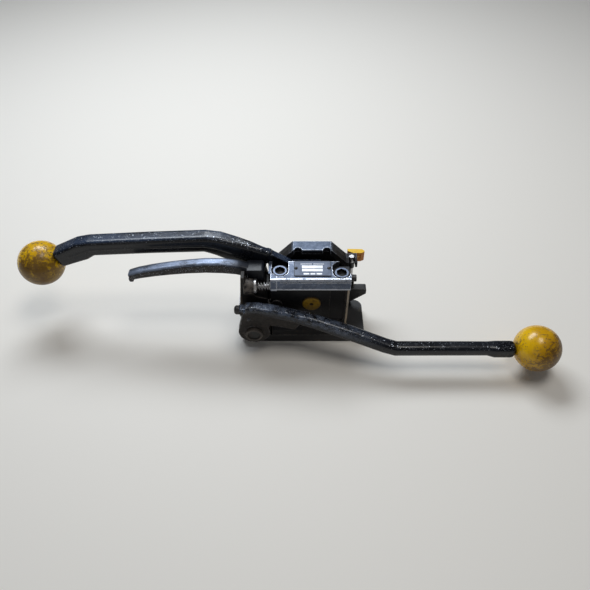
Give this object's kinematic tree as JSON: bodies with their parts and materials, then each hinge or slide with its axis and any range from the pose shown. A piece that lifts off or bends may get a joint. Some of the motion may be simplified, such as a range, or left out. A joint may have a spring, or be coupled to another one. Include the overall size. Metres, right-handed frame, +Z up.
{
  "type": "steel strapping combination tool",
  "caption": "hand-held strapping tensioner with a sealing head, two long ball-knob levers, a rocker release lever and a strap stop on a flat base",
  "frame": {"origin": "underside of the base plate, below the strap's centre line and midway along the base", "axes": "+X runs along the strap towards the tension lever's knob, +Y towards the open side where the strap goes in, +Z up"},
  "size_m": [0.5951, 0.134, 0.1239],
  "materials": {
    "black_casting": "satin black over cast steel, dusty in the corners",
    "black_paint": "glossy black over forged steel, chipped along the edges",
    "blued_steel": "worn blue-grey steel with bright edges",
    "plate_grey": "grey-blue plate with blank pale fields",
    "yellow_knob": "glossy yellow ball knobs, smeared with brown dirt",
    "yellow_paint": "yellow paint",
    "black_screws": "black oxide screws with rubbed rims",
    "bright_steel": "bright ground steel",
    "tool_steel": "hardened tool steel",
    "spring_steel": "oiled spring wire",
    "bronze": "bronze bushes"
  },
  "bodies": {
    "frame": {"base_plate": "black_casting", "base_screws": "black_screws", "housing": "black_casting", "strap_guide": "tool_steel", "top_cover": "blued_steel", "name_plate": "plate_grey", "name_plate_rivets": "bright_steel", "cover_screws": "black_screws", "rear_bridge": "blued_steel", "bridge_screws": "black_screws", "die_block": "tool_steel", "die_screws": "black_screws", "cam_bushes": "bronze", "access_plug": "yellow_paint", "spring_anchor": "blued_steel", "spring_guide_rod": "bright_steel", "rocker_spring": "spring_steel", "rocker_pivot_pin": "bright_steel", "pivot_circlip": "spring_steel", "cutter_clamp_screw": "black_screws", "gripper_springs": "spring_steel", "ram_return_springs": "spring_steel"},
    "sealing_lever": {"sealing_lever": "black_paint", "sealing_knob": "yellow_knob", "cam_shaft": "bright_steel", "cam": "tool_steel", "cam_key": "bright_steel"},
    "ram": {"ram": "tool_steel", "punches": "tool_steel", "cutter_blade": "tool_steel", "blade_screws": "black_screws", "roller_pin": "bright_steel"},
    "cam_roller": {"cam_roller": "bright_steel"},
    "rocker": {"rocker_body": "black_casting", "rocker_lever": "blued_steel", "rocker_lever_pins": "bright_steel", "spring_seat": "bright_steel", "rocker_bush": "bronze", "shaft_bushes": "bronze", "holding_pawl_pin": "bright_steel"},
    "holding_pawl": {"holding_pawl": "tool_steel"},
    "feed_shaft": {"feed_shaft": "bright_steel", "feed_wheel": "tool_steel", "shaft_keys": "bright_steel", "ratchet_wheel": "tool_steel", "shaft_end_cap": "black_casting"},
    "tension_lever": {"tension_lever": "black_paint", "tension_knob": "yellow_knob", "hub_cover": "blued_steel", "hub_cover_screws": "black_screws", "pawl_pin": "bright_steel", "pawl_spring_plug": "black_screws"},
    "drive_pawl": {"drive_pawl": "tool_steel"},
    "strap_stop": {"stop_spindle": "bright_steel", "strap_stop": "black_casting", "thumb_lever": "yellow_paint"},
    "gripper": {"gripper_plate": "tool_steel"}
  },
  "joints": [
    {"name": "sealing_swing", "type": "hinge", "parent": "frame", "child": "sealing_lever", "pos_m": [0.009, 0, 0.076], "axis": [0, 1, 0], "range_deg": [0, 140]},
    {"name": "ram_slide", "type": "slide", "parent": "frame", "child": "ram", "axis": [0, 0, -1], "range_m": [0, 0.007], "deforming": ["ram_return_springs"]},
    {"name": "roller_spin", "type": "hinge", "parent": "ram", "child": "cam_roller", "pos_m": [0.009, -0.0065, 0.061], "axis": [0, 1, 0], "continuous": true},
    {"name": "rocker_tilt", "type": "hinge", "parent": "frame", "child": "rocker", "pos_m": [-0.029, 0, 0.06], "axis": [0, 1, 0], "range_deg": [0, 6], "stiffness_Nm_per_rad": 8, "springref_deg": -20.05, "deforming": ["rocker_spring"]},
    {"name": "holding_pawl_lift", "type": "hinge", "parent": "rocker", "child": "holding_pawl", "pos_m": [-0.066, -0.03, 0.047], "axis": [0, -1, 0], "range_deg": [0, 12], "stiffness_Nm_per_rad": 0.02, "springref_deg": -22.92},
    {"name": "feed_turn", "type": "hinge", "parent": "rocker", "child": "feed_shaft", "pos_m": [-0.054, 0, 0.033], "axis": [0, 1, 0], "range_deg": [-115, 0]},
    {"name": "tension_swing", "type": "hinge", "parent": "rocker", "child": "tension_lever", "pos_m": [-0.054, -0.039, 0.033], "axis": [0, 1, 0], "range_deg": [-115, 0]},
    {"name": "drive_pawl_lift", "type": "hinge", "parent": "tension_lever", "child": "drive_pawl", "pos_m": [-0.059, -0.038, 0.055], "axis": [0, -1, 0], "range_deg": [0, 12], "stiffness_Nm_per_rad": 0.02, "springref_deg": -22.92},
    {"name": "strap_stop_turn", "type": "hinge", "parent": "frame", "child": "strap_stop", "pos_m": [0.0542, 0.0195, 0.05], "axis": [0, 0, 1], "range_deg": [0, 35], "stiffness_Nm_per_rad": 0.05, "springref_deg": -17.19},
    {"name": "gripper_slide", "type": "slide", "parent": "frame", "child": "gripper", "axis": [0, 0, -1], "range_m": [0, 0.0012], "stiffness_N_per_m": 3000, "springref_m": -0.002, "deforming": ["gripper_springs"]}
  ],
  "couplings": [
    {"joint": "ram_slide", "follows": "sealing_swing", "m_per_rad": 0.0028647},
    {"joint": "feed_turn", "follows": "tension_swing", "ratio": 1}
  ]
}
